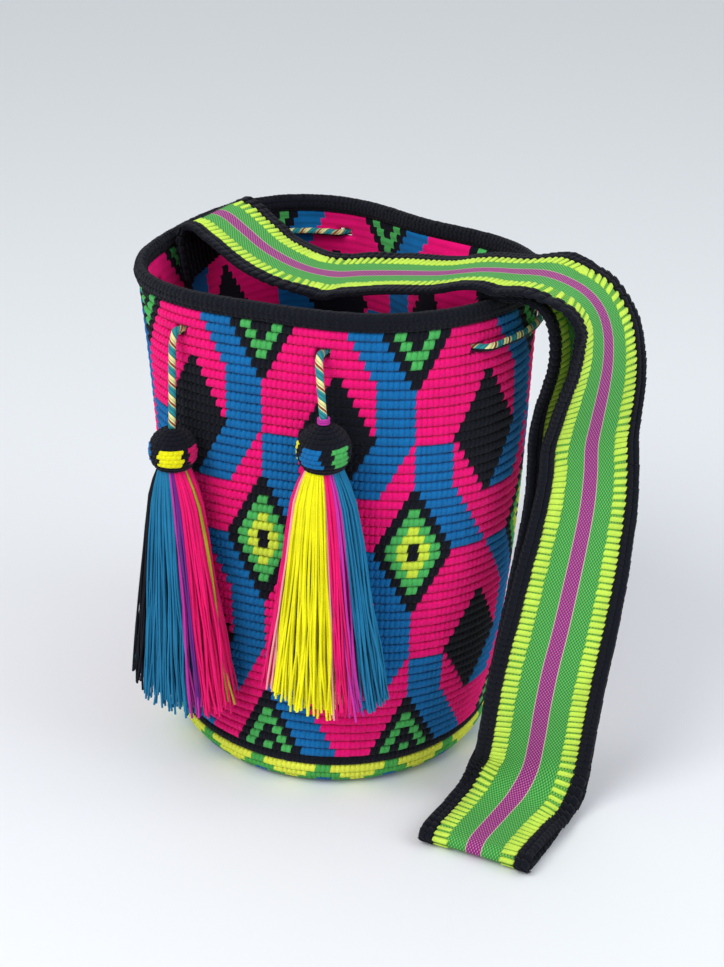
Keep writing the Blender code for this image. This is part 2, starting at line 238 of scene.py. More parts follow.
yarns = {
    "pink": "#F60A78",
    "blue": "#0C6CAC",
    "tasselBlue": "#1C759F",
    "lime": "#C6E653",
    "black": "#0D0F1A",
    "green": "#4DB55C",
    "yellow": "#D6EA45",
    "baseGreen": "#4DAE50",
    "baseYellow": "#EAF24C",
    "tasselYellow": "#F5EF14",
    "tasselPink": "#E8146E",
    "magenta": "#B8329A",
    "purple": "#6A2A86",
    "palePink": "#E9A0A6",
    "olive": "#A6A02C",
    "teal": "#1A7C8C",
}


# fibres are drawn half a millimetre apart, coarser than they are, so that they show
spin = {"fibre": 2100.0, "dye": 70.0, "plies": 3.0, "plySlant": 0.6, "strength": 0.7, "lift": 0.00022}


def fabricShader(name):
    # matt fibre: hardly any gloss, and a faint halo of loose hairs at the edges
    material = bpy.data.materials.new(name)
    material.use_nodes = True
    shader = material.node_tree.nodes["Principled BSDF"]
    shader.inputs["Roughness"].default_value = 0.88
    shader.inputs["Specular IOR Level"].default_value = 0.14
    shader.inputs["Sheen Weight"].default_value = 0.05
    shader.inputs["Sheen Roughness"].default_value = 0.5
    return material, material.node_tree, shader


def dressShader(tree, shader, colour, height, strength, lift):
    bump = addNode(tree, "ShaderNodeBump", {"Height": height, "Strength": strength, "Distance": lift})
    tree.links.new(colour, shader.inputs["Base Color"])
    tree.links.new(bump.outputs[0], shader.inputs["Normal"])


def mapRange(tree, value, low, high, toLow, toHigh):
    return addNode(tree, "ShaderNodeMapRange", {
        "Value": value, "From Min": low, "From Max": high, "To Min": toLow, "To Max": toHigh}).outputs[0]


def stripeRamp(tree, value, stops):
    # hard-edged stripes: each stop is where a colour begins
    ramp = addNode(tree, "ShaderNodeValToRGB", {0: value})
    ramp.color_ramp.interpolation = "CONSTANT"
    ramp.color_ramp.elements[1].position = stops[1][0]
    for place, code in stops[2:]:
        ramp.color_ramp.elements.new(place)
    for element, (place, code) in zip(ramp.color_ramp.elements, stops):
        element.color = hexColour(code)
    return ramp.outputs[0]


def yarnMaterial(name, colour=None, plies=spin["plies"]):
    # acrylic and cotton yarn, spun and plied: matt and dense, with fine fibres and slanting plies;
    # without a colour it takes the mesh's own yarn colours
    material, tree, shader = fabricShader(name)
    place = addNode(tree, "ShaderNodeTexCoord")
    fibres = addNode(tree, "ShaderNodeTexNoise", {
        "Vector": place.outputs["Object"], "Scale": spin["fibre"], "Detail": 3.0})
    dye = addNode(tree, "ShaderNodeTexNoise", {
        "Vector": place.outputs["Object"], "Scale": spin["dye"], "Detail": 2.0})
    fibreShade = mapRange(tree, fibres.outputs["Fac"], 0.3, 0.7, 0.84, 1.20)
    dyeShade = mapRange(tree, dye.outputs["Fac"], 0.3, 0.7, 0.92, 1.06)
    shade = addNode(tree, "ShaderNodeMath", {0: fibreShade, 1: dyeShade}, operation="MULTIPLY")
    tinted = addNode(tree, "ShaderNodeVectorMath", {"Scale": shade.outputs[0]}, operation="SCALE")
    if colour is None:
        given = addNode(tree, "ShaderNodeVertexColor", layer_name="yarnColour")
        tree.links.new(given.outputs["Color"], tinted.inputs[0])
    else:
        tinted.inputs[0].default_value = hexColour(colour)[:3]
    height = fibres.outputs["Fac"]
    if plies:
        slant = addNode(tree, "ShaderNodeMapping", {
            "Vector": place.outputs["UV"], "Rotation": (0, 0, spin["plySlant"])})
        ply = addNode(tree, "ShaderNodeTexWave", {
            "Vector": slant.outputs[0], "Scale": plies, "Distortion": 1.5, "Detail": 1.0},
            wave_profile="SIN")
        height = addNode(tree, "ShaderNodeMath", {0: ply.outputs["Fac"], 1: 0.9, 2: fibres.outputs["Fac"]},
                         operation="MULTIPLY_ADD").outputs[0]
    dressShader(tree, shader, tinted.outputs[0], height, spin["strength"], spin["lift"])
    return material


yarnLooks = {key: yarnMaterial("spun_yarn_" + key, code) for key, code in yarns.items()}
mixedYarn = yarnMaterial("spun_yarn_mixed", None, plies=0.0)


# repeated shapes: one tree plants a shape on points, the other spins strands round lines

def makePlantTree():
    tree = bpy.data.node_groups.new("plant_shapes", "GeometryNodeTree")
    for label, kind in (("Places", "Geometry"), ("Shape", "Object"), ("Wobble", "Float"), ("Seed", "Int"),
                        ("Yarn", "Material")):
        tree.interface.new_socket(label, in_out="INPUT", socket_type="NodeSocket" + kind)
    tree.interface.new_socket("Planted", in_out="OUTPUT", socket_type="NodeSocketGeometry")
    given = addNode(tree, "NodeGroupInput")
    shape = addNode(tree, "GeometryNodeObjectInfo", {"Object": given.outputs["Shape"], "As Instance": True})
    turn = addNode(tree, "GeometryNodeInputNamedAttribute", {"Name": "turn"}, data_type="FLOAT_VECTOR")
    size = addNode(tree, "GeometryNodeInputNamedAttribute", {"Name": "size"}, data_type="FLOAT_VECTOR")
    facing = addNode(tree, "FunctionNodeEulerToRotation", {0: turn.outputs[0]})
    chance = addNode(tree, "FunctionNodeRandomValue", {2: -1.0, 3: 1.0, "Seed": given.outputs["Seed"]},
                     data_type="FLOAT")
    factor = addNode(tree, "ShaderNodeMath", {0: chance.outputs[1], 1: given.outputs["Wobble"], 2: 1.0},
                     operation="MULTIPLY_ADD")
    grown = addNode(tree, "ShaderNodeVectorMath", {0: size.outputs[0], "Scale": factor.outputs[0]},
                    operation="SCALE")
    planted = addNode(tree, "GeometryNodeInstanceOnPoints", {
        "Points": given.outputs["Places"], "Instance": shape.outputs["Geometry"],
        "Rotation": facing.outputs[0], "Scale": grown.outputs[0]})
    real = addNode(tree, "GeometryNodeRealizeInstances", {"Geometry": planted.outputs[0]})
    dyed = addNode(tree, "GeometryNodeSetMaterial", {
        "Geometry": real.outputs[0], "Material": given.outputs["Yarn"]})
    addNode(tree, "NodeGroupOutput", {0: dyed.outputs[0]})
    return tree


def makeStrandTree():
    tree = bpy.data.node_groups.new("spin_strands", "GeometryNodeTree")
    for label, kind in (("Lines", "Geometry"), ("Radius", "Float"), ("Sides", "Int"), ("Yarn", "Material")):
        tree.interface.new_socket(label, in_out="INPUT", socket_type="NodeSocket" + kind)
    tree.interface.new_socket("Strands", in_out="OUTPUT", socket_type="NodeSocketGeometry")
    given = addNode(tree, "NodeGroupInput")
    lines = addNode(tree, "GeometryNodeMeshToCurve", {0: given.outputs["Lines"]})
    ring = addNode(tree, "GeometryNodeCurvePrimitiveCircle", {
        "Resolution": given.outputs["Sides"], "Radius": given.outputs["Radius"]})
    skin = addNode(tree, "GeometryNodeCurveToMesh", {
        "Curve": lines.outputs[0], "Profile Curve": ring.outputs[0], "Fill Caps": True})
    smooth = addNode(tree, "GeometryNodeSetShadeSmooth", {0: skin.outputs[0]})
    real = addNode(tree, "GeometryNodeRealizeInstances", {"Geometry": smooth.outputs[0]})
    dyed = addNode(tree, "GeometryNodeSetMaterial", {
        "Geometry": real.outputs[0], "Material": given.outputs["Yarn"]})
    addNode(tree, "NodeGroupOutput", {0: dyed.outputs[0]})
    return tree


plantTree = makePlantTree()
strandTree = makeStrandTree()


def growPiece(name, source, tree, **inputs):
    # runs the tree on the source mesh and keeps only the plain mesh that comes out
    modifier = source.modifiers.new("grow", "NODES")
    modifier.node_group = tree
    for item in tree.interface.items_tree:
        if item.in_out == "INPUT" and item.name in inputs:
            modifier[item.identifier] = inputs[item.name]
    graph = bpy.context.evaluated_depsgraph_get()
    graph.update()
    mesh = bpy.data.meshes.new_from_object(source.evaluated_get(graph), preserve_all_data_layers=True,
                                           depsgraph=graph)
    mesh.name = name
    source.modifiers.remove(modifier)
    bpy.data.objects.remove(source)
    piece = bpy.data.objects.new(name, mesh)
    bpy.context.scene.collection.objects.link(piece)
    return piece


def plant(name, shape, yarn, places, right, up, size, wobble=0.05, seed=1):
    # one shape at each place; its x runs along right, its y along up, and its z outwards
    places, right, up, size = (np.asarray(a, float) for a in (places, right, up, size))
    out = np.cross(right, up)
    out /= np.linalg.norm(out, axis=1)[:, None]
    right = right / np.linalg.norm(right, axis=1)[:, None]
    up = np.cross(out, right)
    turn = np.stack([np.arctan2(up[:, 2], out[:, 2]), np.arcsin(np.clip(-right[:, 2], -1, 1)),
                     np.arctan2(right[:, 1], right[:, 0])], axis=-1)
    mesh = bpy.data.meshes.new(name + "_places")
    mesh.from_pydata([tuple(p) for p in places], [], [])
    for label, values in (("turn", turn), ("size", size)):
        layer = mesh.attributes.new(label, "FLOAT_VECTOR", "POINT")
        layer.data.foreach_set("vector", values.astype(np.float32).ravel())
    source = bpy.data.objects.new(name + "_places", mesh)
    bpy.context.scene.collection.objects.link(source)
    return growPiece(name, source, plantTree, Shape=shape, Wobble=wobble, Seed=seed, Yarn=yarn)


def makeShape(name, columns, rows, slant, tilt, base):
    # a closed little pillow on a cell one unit wide and high: a flat back, and (y, height) rows in front
    verts, faces, uvs = [], [], []
    for y, lift in rows:
        for x in columns:
            border = x in (columns[0], columns[-1]) or lift is None
            verts.append((x + slant * y, y, base if border else lift + tilt * x))
    wide = len(columns)
    for r in range(len(rows) - 1):
        for c in range(wide - 1):
            faces.append((r * wide + c, r * wide + c + 1, (r + 1) * wide + c + 1, (r + 1) * wide + c))
    last = (len(rows) - 1) * wide
    edge = [c for c in range(wide)] + [r * wide + wide - 1 for r in range(1, len(rows))]
    edge += [last + c for c in range(wide - 2, -1, -1)] + [r * wide for r in range(len(rows) - 2, 0, -1)]
    faces.append(tuple(reversed(edge)))
    for face in faces:
        uvs += [(verts[i][0] + 0.5, verts[i][1] + 0.5) for i in face]
    shape = makeMesh(name, verts, faces, uvs)
    shape.hide_render = True
    return shape


# a single crochet stitch seen from outside: a strong upper ridge and a fainter one below it; each
# stitch runs on under the next one and stands a little proud of it
stitchShape = makeShape("stitch_shape", (-0.72, -0.50, 0.50, 0.72),
                        ((-0.60, None), (-0.28, 0.62), (0.22, 0.86), (0.62, None)), 0.34, 0.11, -0.25)
# a rib of the strap's side: a long low bar
barShape = makeShape("bar_shape", (-0.5, -0.42, 0.42, 0.5),
                     ((-0.5, None), (-0.24, 0.75), (0.22, 0.85), (0.5, None)), 0.10, 0.0, -0.3)


def plantByYarn(prefix, found, body, slot, wobble, seed):
    # found holds, for each yarn, its stitches as (place, right, up, size)
    pieces = []
    for index, (key, rows) in enumerate(sorted(found.items())):
        frames = [np.array([row[k] for row in rows]) for k in range(4)]
        piece = plant(prefix + key, stitchShape, yarnLooks[key], *frames, wobble, index + seed)
        pieces.append(finishPiece(piece, body, slot))
    return pieces


def eyeRing(stitch, step):
    # 0 outside; 1 to 4 inwards through an eye diamond whose steps run from 1 to 14
    half = (step if step <= 7 else 15 - step) if 1 <= step <= 14 else 0
    inside = half - abs(stitch)
    return 0 if inside <= 0 else 1 + int(inside // 2)


def wallColour(stitch, row):
    # stitch is counted from an eye's middle, -14 to 14; row 1 is the first below the edging
    if row == wall["rows"]:
        return "black"
    if row <= 6:
        ring = eyeRing(stitch, row + 8)
        fills = ("black", "green", "black", "black")
    elif row >= 43:
        ring = eyeRing(stitch, row - 42)
        fills = ("black", "green", "black", "green")
    else:
        ring = eyeRing(stitch, row - 17)
        fills = ("black", "green", "yellow", "black")
    if ring:
        return fills[ring - 1]
    fromDiamond = min(abs(row - 12), abs(row - 37))
    if 14 - abs(stitch) < 7 - fromDiamond:
        return "black"
    stepA = row % 25 if row < 44 else 99
    if stepA <= 6:
        edge = stepA - 7
        if edge - 6 <= stitch <= edge:
            return "blue"
    elif stepA <= 12:
        if -7 <= stitch <= 0:
            return "blue"
    elif stepA <= 18 and stitch <= 12 - stepA:
        return "blue"
    stepB = row if row <= 25 else row - 25
    if 13 <= stepB <= 17 and 0 <= stitch <= 7:
        return "blue"
    if 18 <= stepB <= 24 and 0 <= stitch <= stepB - 10:
        return "blue"
    return "pink"


def baseColour(stitch, row):
    # the first rounds below the black line, then plain rings towards the middle
    step = (stitch + 0.5) % 14
    if row == 0:
        return "baseYellow" if step < 11 else "baseGreen"
    if row == 1:
        return "baseYellow" if 2 <= step < 9 else "baseGreen"
    if row == 2:
        return "baseYellow" if 4 <= step < 7 else ("blue" if step >= 11 else "baseGreen")
    if row == 3:
        return "blue" if step >= 9 or step < 1 else "baseGreen"
    return ("baseYellow", "baseYellow", "baseGreen", "blue")[row % 4]


def localStitch(stitch):
    half = wall["repeat"] / 2
    return (stitch + half) % wall["repeat"] - half


def isEyelet(stitch, row):
    step = wall["stitches"] / wall["eyelets"]
    apart = abs((stitch - wall["eyeletStitch"] + step / 2) % step - step / 2)
    return row == wall["eyeletRow"] and apart < wall["eyeletWidth"] / 2


# the wall is a thin skin in the pattern's colours, with every stitch on it
footRow = 0.00651
undersideRounds = 16


def footProfile(down):
    # height, inset and slope at a length below the foot line, round the bend and onto the base
    upright = wall["foot"] - wall["bend"]
    if down <= upright:
        return wall["foot"] - down, 0.0, 0.0
    angle = min(math.pi / 2, (down - upright) / wall["bend"])
    return wall["bend"] * (1 - math.sin(angle)), -wall["bend"] * (1 - math.cos(angle)), angle


def skinRings():
    # rings from the middle of the floor, up the inside, over the mouth, down the outside to the underside
    numbers = np.arange(wall["stitches"]) - wall["stitches"] / 2
    rings, bands = [], []

    def addRing(height, offset, band, shrink=1.0):
        ring = wallPoints(numbers, height, offset)[0]
        ring[:, :2] *= shrink
        rings.append(ring)
        bands.append(band)

    thick = wall["thickness"]
    for shrink in (0.05, 0.2, 0.4, 0.6, 0.8):
        addRing(thick, -wall["bend"], "floor", shrink)
    for angle in np.radians([90, 60, 30]):
        addRing(thick + (wall["bend"] - thick) * (1 - math.sin(angle)),
                -thick - (wall["bend"] - thick) * (1 - math.cos(angle)), "floor")
    steps = [(row, share) for row in range(wall["rows"] + 1) for share in (0.0, 1 / 3, 2 / 3)]
    heights = [(rowHeight(row + share), share) for row, share in steps[:-2]]
    ridge = {0.0: -0.0004, 1 / 3: 0.0004, 2 / 3: 0.0}
    for height, share in reversed(heights):
        addRing(height, -thick - ridge[share], "wall")
    for height, share in heights:
        addRing(height, -wall["skinDepth"], "wall")
    for third in range(1, 13):
        height, inset, angle = footProfile(third * footRow / 3)
        addRing(height + wall["skinDepth"] * math.sin(angle), inset - wall["skinDepth"] * math.cos(angle),
                ("foot", (third - 1) // 3))
    for half in range(1, 2 * undersideRounds):
        addRing(0.0003 if half % 2 else 0.0014, -wall["bend"] - 0.001, ("foot", 4 + (half - 1) // 2),
                1 - half / (2 * undersideRounds))
    return rings, bands


def makeWallSkin():
    rings, bands = skinRings()
    count = wall["stitches"]
    verts = [tuple(v) for ring in rings for v in ring]
    faces, colours = [], []
    for level in range(len(rings) - 1):
        band = bands[level + 1]
        middle = (rings[level][0][2] + rings[level + 1][0][2]) / 2
        row = int((rowHeight(0) - middle + 0.0001) / wall["rowHeight"]) + 1
        for i in range(count):
            stitch = i - count / 2 + 0.5
            if band == "wall" and isEyelet(stitch, row):
                continue
            if band == "floor":
                key = "baseGreen"
            elif band == "wall":
                key = wallColour(localStitch(stitch), min(wall["rows"], row))
            else:
                key = baseColour(stitch, band[1])
            a, b = level * count + i, level * count + (i + 1) % count
            faces.append((a, b, b + count, a + count))
            colours.append(hexColour(yarns[key]))
    for level, key in ((0, "baseGreen"), (len(rings) - 1, "blue")):
        faces.append(tuple(level * count + i for i in range(count)))
        colours.append(hexColour(yarns[key]))
    skin = makeMesh("wall_skin", verts, faces, None, colours)
    work = bmesh.new()
    work.from_mesh(skin.data)
    layer = work.loops.layers.float_color["yarnColour"]
    rims = {}
    for edge in work.edges:
        if len(edge.link_faces) == 1:
            spot = (edge.verts[0].co + edge.verts[1].co) / 2
            nearest = min(range(wall["eyelets"]), key=lambda k: (eyeletPlaces[k] - spot).length)
            rims.setdefault(nearest, []).append(edge)
    for edges in rims.values():
        for face in bmesh.ops.bridge_loops(work, edges=edges)["faces"]:
            for loop in face.loops:
                loop[layer] = hexColour(yarns["pink"])
    bmesh.ops.recalc_face_normals(work, faces=work.faces)
    work.to_mesh(skin.data)
    work.free()
    faceOutwards(skin)
    skin.data.shade_smooth()
    skin.data.materials.append(mixedYarn)
    return skin


eyeletPlaces = [wallPoint(wall["eyeletStitch"] + k * wall["stitches"] / wall["eyelets"],
                          rowHeight(wall["eyeletRow"] - 0.5), -wall["thickness"] / 2)[0]
                for k in range(wall["eyelets"])]


def wallStitchFrames():
    # place, right, up, size and colour of every stitch of the wall and of the rounds at the foot
    found = {}
    numbers = np.arange(wall["stitches"]) - wall["stitches"] / 2 + 0.5
    for row in range(1, wall["rows"] + 1):
        middle = rowHeight(row - 0.5)
        places, right, out = wallPoints(numbers, middle, -wall["skinDepth"] + 0.0003)
        above = wallPoints(numbers, middle + 0.002, -wall["skinDepth"])[0]
        below = wallPoints(numbers, middle - 0.002, -wall["skinDepth"])[0]
        width = outline(middle)[2][-1] / wall["stitches"]
        for k, stitch in enumerate(numbers):
            if isEyelet(stitch, row):
                continue
            key = wallColour(localStitch(stitch), row)
            size = (width, wall["rowHeight"], wall["stitchDepth"])
            found.setdefault(key, []).append((places[k], right[k], above[k] - below[k], size))
    depth = wall["skinDepth"] - 0.0003
    for footRound in range(4):
        height, inset, angle = footProfile((footRound + 0.5) * footRow)
        offset = inset - depth * math.cos(angle)
        places, right, out = wallPoints(numbers, height + depth * math.sin(angle), offset)
        up = np.array([0, 0, 1.0]) * math.cos(angle) + out * math.sin(angle)
        width = (outline(height)[2][-1] + 2 * math.pi * inset) / wall["stitches"]
        for k, stitch in enumerate(numbers):
            size = (width, footRow, wall["stitchDepth"])
            found.setdefault(baseColour(stitch, footRound), []).append((places[k], right[k], up[k], size))
    return found


def makeWall():
    finishPiece(makeWallSkin(), "root", "crochet_wall", "bag_body")
    plantByYarn("wall_stitches_", wallStitchFrames(), "root", "crochet_wall", 0.05, 3)


makeWall()
print("wall crocheted")

# the dark edging of the mouth
rim = {
    "height": 0.0105,
    "thickness": 0.0068,
    "gap": 0.0003,
    "coreShare": 0.82,
    "coreSides": 10,
    "stitchShare": 0.86,
    "rounds": 7,
    "firstAngle": -62,
    "sweep": 304,
    "stitchSize": (0.0050, 0.0019),  # height and depth
}


def rimSection(angle, share):
    # points of one line round the mouth, at an angle round the edging's own section
    numbers = np.arange(wall["stitches"]) - wall["stitches"] / 2 + 0.5
    height = rowHeight(0) + rim["gap"] + rim["height"] / 2
    offset = -wall["thickness"] / 2 + rim["thickness"] / 2 * share * math.cos(angle)
    places, right, out = wallPoints(numbers, height, offset)
    places[:, 2] += rim["height"] / 2 * share * math.sin(angle)
    return places, right, out


def makeRim():
    sides = rim["coreSides"]
    verts = []
    for k in range(sides):
        verts += [tuple(p) for p in rimSection(2 * math.pi * k / sides, rim["coreShare"])[0]]
    core = makeMesh("rim_core", verts, loftFaces(sides, wall["stitches"], True))
    faceOutwards(core)
    core.data.materials.append(yarnLooks["black"])
    finishPiece(core, "root", "black_yarn", "rim_edging")
    width = outline(rowHeight(0))[2][-1] / wall["stitches"]
    rows = []
    for k in range(rim["rounds"]):
        angle = math.radians(rim["firstAngle"] + rim["sweep"] * k / (rim["rounds"] - 1))
        places, right, out = rimSection(angle, rim["stitchShare"])
        up = np.array([0, 0, rim["height"]]) * math.cos(angle) - out * math.sin(angle) * rim["thickness"]
        rows += [(p, r, u, (width, *rim["stitchSize"])) for p, r, u in zip(places, right, up)]
    frames = [np.array([row[k] for row in rows]) for k in range(4)]
    piece = plant("rim_stitches", stitchShape, yarnLooks["black"], *frames, 0.08, 31)
    finishPiece(piece, "root", "black_yarn")


makeRim()
print("rim edged")

drawstring = {
    "diameter": 0.0048,
    "sides": 14,
    "step": 0.0022,
    "offset": 0.0034,
    "pivotOffset": 0.0046,
    "repeat": 0.0125,
    "ridge": 0.06,
    "blackShare": 0.44,
    "stripes": ((0.0, "#2A8A92"), (0.46, "#E6E29A"), (0.80, "#8E3B34"), (0.92, "#E6E29A")),
    "black": "#15171F",
    "spanStations": (1.7, 4.2, 9.0, 14.0, 19.0, 23.8, 26.3),  # stitches after each eyelet
}


def braidMaterial():
    # plaited cotton: slanting stripes of three colours with a dark line of strands down one side, and
    # painted shade darkening the dips between the plaits
    material, tree, shader = fabricShader("braided_cotton")
    split = addNode(tree, "ShaderNodeSeparateXYZ", {0: addNode(tree, "ShaderNodeTexCoord").outputs["UV"]})
    turned = addNode(tree, "ShaderNodeMath", {
        0: split.outputs[1], 1: 1 / drawstring["repeat"], 2: split.outputs[0]}, operation="MULTIPLY_ADD")
    stripe = addNode(tree, "ShaderNodeMath", {0: turned.outputs[0]}, operation="FRACT")
    striped = stripeRamp(tree, stripe.outputs[0], drawstring["stripes"])
    side = addNode(tree, "ShaderNodeMath", {0: split.outputs[0], 1: drawstring["blackShare"]},
                   operation="LESS_THAN")
    plaits = addNode(tree, "ShaderNodeMath", {0: turned.outputs[0], 1: 8 * math.pi}, operation="MULTIPLY")
    wave = addNode(tree, "ShaderNodeMath", {0: plaits.outputs[0]}, operation="SINE")
    # painted shade: the colour darkens towards the plaits' dips, where the bump is lowest
    plaitDipPaintedShade = mapRange(tree, wave.outputs[0], -1.0, -0.2, 0.55, 1.0)
    mixed = addNode(tree, "ShaderNodeMix", {
        0: side.outputs[0], 6: striped, 7: hexColour(drawstring["black"])}, data_type="RGBA")
    shaded = addNode(tree, "ShaderNodeVectorMath", {0: mixed.outputs[2], "Scale": plaitDipPaintedShade}, operation="SCALE")
    dressShader(tree, shader, shaded.outputs[0], wave.outputs[0], 0.6, 0.0003)
    return material


braid = braidMaterial()


def makeTube(name, path):
    # a closed tube of braid, with one UV unit round it and metres along it
    path = np.asarray(path, float)
    sides = drawstring["sides"]
    along = np.gradient(path, axis=0)
    along /= np.linalg.norm(along, axis=1)[:, None]
    run = np.concatenate([[0], np.cumsum(np.linalg.norm(np.diff(path, axis=0), axis=1))])
    side = np.cross(along[0], (0.0, 0.0, 1.0))
    if np.linalg.norm(side) < 0.1:
        side = np.array([1.0, 0.0, 0.0])
    verts, uvs = [], []
    for k, place in enumerate(path):
        side = side - along[k] * np.dot(side, along[k])
        side /= np.linalg.norm(side)
        other = np.cross(along[k], side)
        for i in range(sides):
            turn = 2 * math.pi * i / sides
            twist = 3 * turn + 2 * math.pi * run[k] / drawstring["repeat"]
            here = drawstring["diameter"] / 2 * (1 + drawstring["ridge"] * math.cos(twist))
            verts.append(tuple(place + (side * math.cos(turn) + other * math.sin(turn)) * here))
    for start, stop in zip(run[:-1], run[1:]):
        for i in range(sides):
            near, far = i / sides, (i + 1) / sides
            uvs += [(near, start), (far, start), (far, stop), (near, stop)]
    last = (len(path) - 1) * sides
    faces = loftFaces(len(path), sides)
    faces += [tuple(reversed(range(sides))), tuple(last + i for i in range(sides))]
    uvs += [(0.7, 0.0)] * sides + [(0.7, run[-1])] * sides
    tube = makeMesh(name, verts, faces, uvs)
    faceOutwards(tube)
    tube.data.materials.append(braid)
    return tube


def makeDrawstring():
    # round the mouth through the eyelets, first inside, then outside
    height = rowHeight(wall["eyeletRow"] - 0.5)
    step = wall["stitches"] / wall["eyelets"]
    first = wall["eyeletStitch"]
    last = first + (wall["eyelets"] - 1) * step
    middle = -wall["thickness"] / 2
    inside = -wall["thickness"] - drawstring["offset"]
    start = drawstring["pivotOffset"] - drawstring["diameter"] / 2
    spots = [(first, start), (first + 0.3, middle)]
    for span in range(wall["eyelets"] - 1):
        begin = first + span * step
        side = inside if span % 2 == 0 else drawstring["offset"]
        if span:
            spots.append((begin, middle))
        spots += [(begin + share, side) for share in drawstring["spanStations"]]
    spots += [(last - 0.3, middle), (last, start)]
    stations = [tuple(wallPoint(stitch, height, offset)[0]) for stitch, offset in spots]
    tube = makeTube("drawstring_braid", smoothRoute(stations, drawstring["step"]))
    finishPiece(tube, "root", "braided_cord", "drawstring_loop")


makeDrawstring()
print("drawstring threaded")

# a patch runs from one azimuth to another on the ball; a dye ends at a place across the skirt, -1 to 1
tassels = {
    "left": {
        "eyelet": -44.5, "stitch": -42.1,
        "ballHeight": 0.2425, "ballRadius": 0.0160, "ballClearance": 0.0035,
        "ring": 0.0, "skirtEnd": 0.0560, "spread": (0.045, 0.0170), "skirtSlot": "blue_yarn",
        "patches": ((-34, 26, "tasselYellow"), (48, 84, "tasselPink"), (-112, -66, "blue")),
        "dyes": ((-0.97, "teal"), (-0.64, "black"), (0.40, "tasselBlue"), (0.50, "magenta"),
                 (0.58, "purple"), (0.96, "tasselPink"), (2.0, "olive")),
    },
    "right": {
        "eyelet": -16.5, "stitch": -14.4,
        "ballHeight": 0.2622, "ballRadius": 0.0175, "ballClearance": 0.0035,
        "ring": 0.0042, "skirtEnd": 0.0800, "spread": (0.043, 0.0175), "skirtSlot": "yellow_yarn",
        "patches": ((-58, -6, "blue"), (22, 60, "green"), (-104, -80, "tasselYellow")),
        "dyes": ((-0.88, "tasselPink"), (-0.84, "palePink"), (0.22, "tasselYellow"), (0.28, "palePink"),
                 (0.50, "tasselPink"), (0.64, "magenta"), (2.0, "tasselBlue")),
    },
}


ball = {
    "coreShare": 0.86,
    "coreSides": 24,
    "coreLatitudes": (78, 60, 42, 24, 6, -12, -30, -46),
    "stitchShare": 0.88,
    "rounds": 12,
    "firstLatitude": 84,
    "roundStep": 11.6,
    "stitchWidth": 0.0034,
    "stitchSize": (0.0040, 0.0021),  # height and depth
    "patchLatitudes": (-24, 16),
}

skirt = {
    "strands": 330,
    "points": 14,
    "radius": 0.00078,
    "sides": 5,
    "neckShare": 0.60,
    "topShare": 0.62,
    "growth": ((0, 0.12, 0.3, 0.58, 1), (0, 0.29, 0.45, 0.65, 1)),  # how far down, how far out
    "ragged": (-0.004, 0.007),
    "edgeRise": 0.010,
    "seeds": {"left": 7, "right": 8},
}

binding = {
    "turns": 3,
    "pitch": 0.00125,
    "yarn": 0.00075,
    "radius": 0.0033,
    "lift": 0.00112,
    "sides": 8,
    "around": 28,
}


def tasselPlaces(side):
    # the cord's pivot, the ball's middle and top, and the direction away from the wall
    facts = tassels[side]
    pivot = wallPoint(facts["eyelet"], rowHeight(wall["eyeletRow"] - 0.5), drawstring["pivotOffset"])[0]
    offset = facts["ballRadius"] + facts["ballClearance"]
    middle, normal = wallPoint(facts["stitch"], facts["ballHeight"], offset)
    top = middle + Vector((0, 0, facts["ballRadius"] * 0.95))
    return pivot, middle, top, normal


def ballSpot(azimuth, latitude):
    # outwards, to the right and upwards at a place on a ball; azimuth 0 faces the front
    a, b = math.radians(azimuth), math.radians(latitude)
    out = np.array((math.sin(a) * math.cos(b), -math.cos(a) * math.cos(b), math.sin(b)))
    right = np.array((math.cos(a), math.sin(a), 0.0))
    up = np.array((-math.sin(b) * math.sin(a), math.sin(b) * math.cos(a), math.cos(b)))
    return out, right, up


def patchYarn(patches, azimuth, latitude):
    low, high = ball["patchLatitudes"]
    yarn = "black"
    for start, stop, dye in patches:
        if start <= azimuth <= stop and low < latitude < high:
            yarn = dye
    return yarn


def makeBall(side):
    facts = tassels[side]
    middle = np.array(tasselPlaces(side)[1])
    radius = facts["ballRadius"]
    body = "tassel_" + side
    sides = ball["coreSides"]
    verts = []
    for latitude in ball["coreLatitudes"]:
        for i in range(sides):
            verts.append(tuple(middle + ballSpot(360 * i / sides, latitude)[0] * radius * ball["coreShare"]))
    last = len(verts) - sides
    faces = loftFaces(len(ball["coreLatitudes"]), sides)
    faces += [tuple(range(sides)), tuple(last + i for i in reversed(range(sides)))]
    core = makeMesh(body + "_ball", verts, faces)
    faceOutwards(core)
    core.data.materials.append(yarnLooks["black"])
    finishPiece(core, body, "black_yarn", body + "_head")
    found = {}
    for index in range(ball["rounds"]):
        latitude = ball["firstLatitude"] - ball["roundStep"] * index
        girth = 2 * math.pi * radius * math.cos(math.radians(latitude))
        around = max(5, int(round(girth / ball["stitchWidth"])))
        for i in range(around):
            azimuth = 360 * (i + 0.5 * (index % 2)) / around
            key = patchYarn(facts["patches"], (azimuth + 180) % 360 - 180, latitude)
            out, right, up = ballSpot(azimuth, latitude)
            place = middle + out * radius * ball["stitchShare"]
            found.setdefault(key, []).append((place, right, up, (girth / around, *ball["stitchSize"])))
    return [core] + plantByYarn(body + "_stitches_", found, body, "black_yarn", 0.07, 41)


